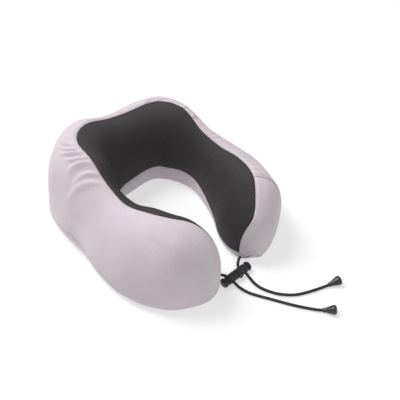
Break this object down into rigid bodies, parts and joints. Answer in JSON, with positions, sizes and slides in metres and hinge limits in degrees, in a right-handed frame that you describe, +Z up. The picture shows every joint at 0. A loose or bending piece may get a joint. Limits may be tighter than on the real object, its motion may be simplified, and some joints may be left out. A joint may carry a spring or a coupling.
{
  "type": "travel neck pillow",
  "caption": "U-shaped memory-foam travel neck pillow in a zipped velour cover with a mesh neck panel and a push-button cord lock that joins the arm ends.",
  "frame": {"origin": "centre of the pillow's plan on the surface it stands on, the cords and what hangs on them left out", "axes": "+Z up, the pillow's height; +Y towards the back of the neck, away from the open arm ends; +X towards the wearer's other side, right in a view from the front opening"},
  "size_m": [0.2636, 0.4005, 0.1189],
  "materials": {
    "foam": "matte",
    "liner": "matte",
    "velour": "matte",
    "spacer_mesh": "matte",
    "zip_tape": "matte",
    "zip_coil": "satin",
    "zip_metal": "satin",
    "lock_plastic": "satin",
    "spring_steel": "satin",
    "cord": "matte",
    "bell_plastic": "satin"
  },
  "bodies": {
    "pillow": {"foam_core": "foam", "core_liner": "liner", "base_panel": "velour", "base_rim": "velour", "back_panel": "velour", "side_panel_left": "velour", "side_panel_right": "velour", "mesh_panel": "spacer_mesh", "neck_band": "velour", "zip_tape_upper": "zip_tape", "zip_tape_lower": "zip_tape", "zip_coil_upper": "zip_coil", "zip_coil_lower": "zip_coil", "zip_stops": "zip_metal", "cord_left": "cord", "cord_right_neck": "cord", "barrel_left": "lock_plastic", "spring_left": "spring_steel", "bell_left": "bell_plastic"},
    "plunger_left": {"plunger_left": "lock_plastic"},
    "lock_right": {"barrel_right": "lock_plastic", "spring_right": "spring_steel", "cord_right_tail": "cord", "bell_right": "bell_plastic"},
    "plunger_right": {"plunger_right": "lock_plastic"},
    "zip_slider": {"zip_slider": "zip_metal"},
    "zip_pull": {"zip_pull": "zip_metal"}
  },
  "joints": [
    {"name": "plunger_left_press", "type": "slide", "parent": "pillow", "child": "plunger_left", "axis": [1, 0, 0], "range_m": [0, 0.0026], "stiffness_N_per_m": 600, "springref_m": -0.002, "deforming": ["spring_left"]},
    {"name": "lock_release", "type": "slide", "parent": "pillow", "child": "lock_right", "axis": [0, -1, 0], "range_m": [0, 0.0085]},
    {"name": "plunger_right_press", "type": "slide", "parent": "lock_right", "child": "plunger_right", "axis": [-1, 0, 0], "range_m": [0, 0.0026], "stiffness_N_per_m": 600, "springref_m": -0.002, "deforming": ["spring_right"]},
    {"name": "zip_slide", "type": "slide", "parent": "pillow", "child": "zip_slider", "axis": [1, 0, 0], "range_m": [-0.098, 0]},
    {"name": "zip_pull_swing", "type": "hinge", "parent": "zip_slider", "child": "zip_pull", "pos_m": [0.049, 0.1411, 0.018], "axis": [0, 0, 1], "range_deg": [-175, 0]}
  ]
}
